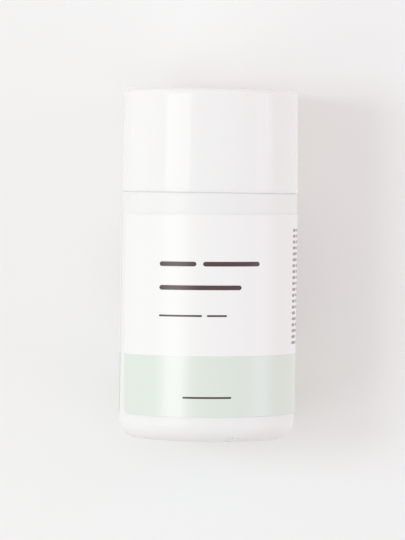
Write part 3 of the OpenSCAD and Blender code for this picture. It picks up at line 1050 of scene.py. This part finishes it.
white_film = film_material("white_film", (0.893, 0.893, 0.893), 0.33, Specular_IOR_Level=0.35)
green_print = film_material("green_print", (0.722, 0.808, 0.730), 0.32, Specular_IOR_Level=0.9,
                            Specular_Tint=(1.0, 0.82, 0.95, 1))
for film in (white_film, green_print):
    sheet.data.materials.append(film)
thickness = sheet.modifiers.new("film", "SOLIDIFY")
thickness.thickness = label_t
thickness.offset = -1
label = baked(sheet, crease=40)
finish_piece(label, "jar", "label_film", "label")

# %% [markdown]
# ## The print
# The real label carries lettering, and none of it is copied. Plain round-ended bars stand for the
# words, in the same colour and at the same scale. An image could carry them too, but thin plates of ink
# stay sharp from any distance. Each bar is one point with a place, a length and a height. The tree puts
# a small plate on every point, shapes its ends and bends it round the label.

# %% Print tree
def print_tree():
    tree, sizes = new_tree("printed bars", Radius=24 * mm, Slope=0.01, Lift=0.01 * mm, Columns=9)
    plate = add_node(tree, "GeometryNodeMeshGrid", {
        "Size X": 2.0, "Size Y": 2.0, "Vertices X": sizes["Columns"], "Vertices Y": 2})
    place = add_node(tree, "GeometryNodeInputPosition").outputs[0]
    kept = add_node(tree, "GeometryNodeStoreNamedAttribute", {
        0: plate.outputs[0], "Name": "plate", "Value": place}, data_type="FLOAT_VECTOR", domain="POINT")
    copies = add_node(tree, "GeometryNodeInstanceOnPoints", {
        0: sizes["Geometry"], "Instance": kept.outputs[0]})
    real = add_node(tree, "GeometryNodeRealizeInstances", {0: copies.outputs[0]})

    def read(name, kind="FLOAT"):
        node = add_node(tree, "GeometryNodeInputNamedAttribute", {"Name": name}, data_type=kind)
        return node.outputs[0]

    plate_axes = add_node(tree, "ShaderNodeSeparateXYZ", {0: read("plate", "FLOAT_VECTOR")}).outputs
    half_length = calculate(tree, "MULTIPLY", read("length"), 0.5)
    half_height = calculate(tree, "MULTIPLY", read("height"), 0.5)
    crowded = calculate(tree, "SINE", calculate(tree, "MULTIPLY", plate_axes["X"], math.pi / 2))
    along = calculate(tree, "MULTIPLY", half_length, crowded)
    straight = calculate(tree, "SUBTRACT", half_length, half_height)
    past = calculate(tree, "MAXIMUM", 0, calculate(
        tree, "SUBTRACT", calculate(tree, "ABSOLUTE", along), straight))
    share = calculate(tree, "DIVIDE", past, half_height)
    circle = calculate(tree, "SUBTRACT", 1, calculate(tree, "MULTIPLY", share, share))
    shrink = calculate(tree, "SQRT", calculate(tree, "MAXIMUM", 0.04, circle))
    up = calculate(tree, "MULTIPLY", plate_axes["Y"], calculate(tree, "MULTIPLY", half_height, shrink))
    place_round = calculate(tree, "ADD", read("place_round"), along)
    angle = calculate(tree, "DIVIDE", place_round, sizes["Radius"])
    radius = calculate(tree, "ADD", sizes["Radius"], sizes["Lift"])
    across = calculate(tree, "MULTIPLY", radius, calculate(tree, "SINE", angle))
    outward = calculate(tree, "MULTIPLY", radius, calculate(tree, "COSINE", angle))
    askew = calculate(tree, "MULTIPLY", across, sizes["Slope"])
    height = calculate(tree, "ADD", calculate(tree, "ADD", read("place_up"), up), askew)
    point = vector(tree, x=across, y=calculate(tree, "MULTIPLY", outward, -1), z=height)
    bent = add_node(tree, "GeometryNodeSetPosition", {0: real.outputs[0], "Position": point})
    return end_tree(tree, sizes, bent.outputs[0])


printing = print_tree()
print(f"tree '{printing.name}' has {len(printing.nodes)} nodes")

# %% [markdown]
# Ink on film is satin, with a fine grain where it didn't quite cover. It is a hair thick, so that it
# lies on the film and not in it.

# %% Ink
ink_lift, ink_t = 0.012 * mm, 0.02 * mm


def ink_material(name, colour):
    material, tree, shader, place = new_material(name, colour, 0.30)
    grain = clouded(tree, shader, place, 0.15 * mm, colour, tuple(1.25 * c for c in colour))
    tree.links.new(bumped(tree, grain, 0.002 * mm), shader.inputs["Normal"])
    return material


def printed(name, bars, material, columns):
    """Bars as (place round the label, height, length, thickness) in metres, printed on the film."""
    start = mesh_object(name, [(b[0], 0, b[1]) for b in bars])
    for attribute, k in (("place_round", 0), ("place_up", 1), ("length", 2), ("height", 3)):
        layer = start.data.attributes.new(attribute, "FLOAT", "POINT")
        layer.data.foreach_set("value", [b[k] for b in bars])
    flat = grown(name, start, printing, material, Radius=label_r, Slope=label_slope,
                 Lift=ink_lift, Columns=columns)
    body = flat.modifiers.new("ink", "SOLIDIFY")
    body.thickness = ink_t
    body.offset = 0
    return baked(flat)


# %% [markdown]
# The front has a title in two rows, a thinner row under it, and a mark on the green band. A heading
# stands on the back. Places are measured round the label from the middle of the front, and heights from
# the table.

# %% Large print
def bar(first, last, height, thickness):
    """One bar from its two ends round the label and the height of its middle, in millimetres."""
    return ((first + last) / 2 * mm, height * mm, (last - first) * mm, thickness * mm)


text_left = -13.8
bold, light = 1.25, 0.5
title = [bar(text_left, -3.3, 47.5, bold), bar(-1.5, 14.4, 47.5, bold), bar(text_left, 9.0, 41.2, bold)]
subtitle = [bar(text_left, -1.6, 33.7, light), bar(-0.3, 5.1, 33.7, light)]
band_mark = [bar(-6.6, 6.6, 11.9, light)]
side_left = math.radians(70.5) * label_r / mm
back_left = side_left + 44
back_heading = [bar(back_left, back_left + 14, 56.2, 1.0)]
ink = ink_material("brown_ink", (0.068, 0.036, 0.040))
large_print = printed("label_large_print", title + subtitle + band_mark + back_heading, ink, 33)
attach(large_print, "jar")
print(f"{len(title + subtitle + band_mark + back_heading)} bars of large print")

# %% [markdown]
# The small print starts just at the right edge of the front view and runs round to the back. Its rows
# are filled with word-long dashes of random length, from a fixed seed. Small letters are mostly the
# white between their strokes, so the dashes are as tall as the letters and printed in a paler ink.

# %% Small print
dice = random.Random(7)
row_pitch, letter_height, word_space = 1.6, 0.8, 0.7
paragraph = 7  # rows; the last one is short
full_row, short_row = (0.92, 1.0), (0.4, 0.7)
shortest_first, shortest, longest = 2.4, 1.2, 5.0


def small_print(left, width, top, count):
    """Rows of dashes from a place round the label, with the top row's height, in millimetres."""
    dashes = []
    for row in range(count):
        last_row = row % paragraph == paragraph - 1
        end = left + width * dice.uniform(*(short_row if last_row else full_row))
        s = left
        while s < end:
            length = min(dice.uniform(shortest_first if s == left else shortest, longest), end - s)
            if length > 2 * letter_height:
                dashes.append(bar(s, s + length, top - row * row_pitch, letter_height))
            s += length + word_space
    return dashes


side_dashes = small_print(side_left, 38, 56.4, 20)
back_dashes = small_print(back_left, 32, 53.4, 12)
pale_ink = ink_material("pale_brown_ink", (0.28, 0.23, 0.24))
small = printed("label_small_print", side_dashes + back_dashes, pale_ink, 5)
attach(small, "jar")
print(f"{len(side_dashes) + len(back_dashes)} dashes of small print")

# %% [markdown]
# ## The plain model's box
# The box of the plain model is printed. Blender must not make the jar larger or smaller.

# %% Write the sizes and finish
print("plain box ", [round(c / mm, 2) for c in (*cad_low, *cad_high)])
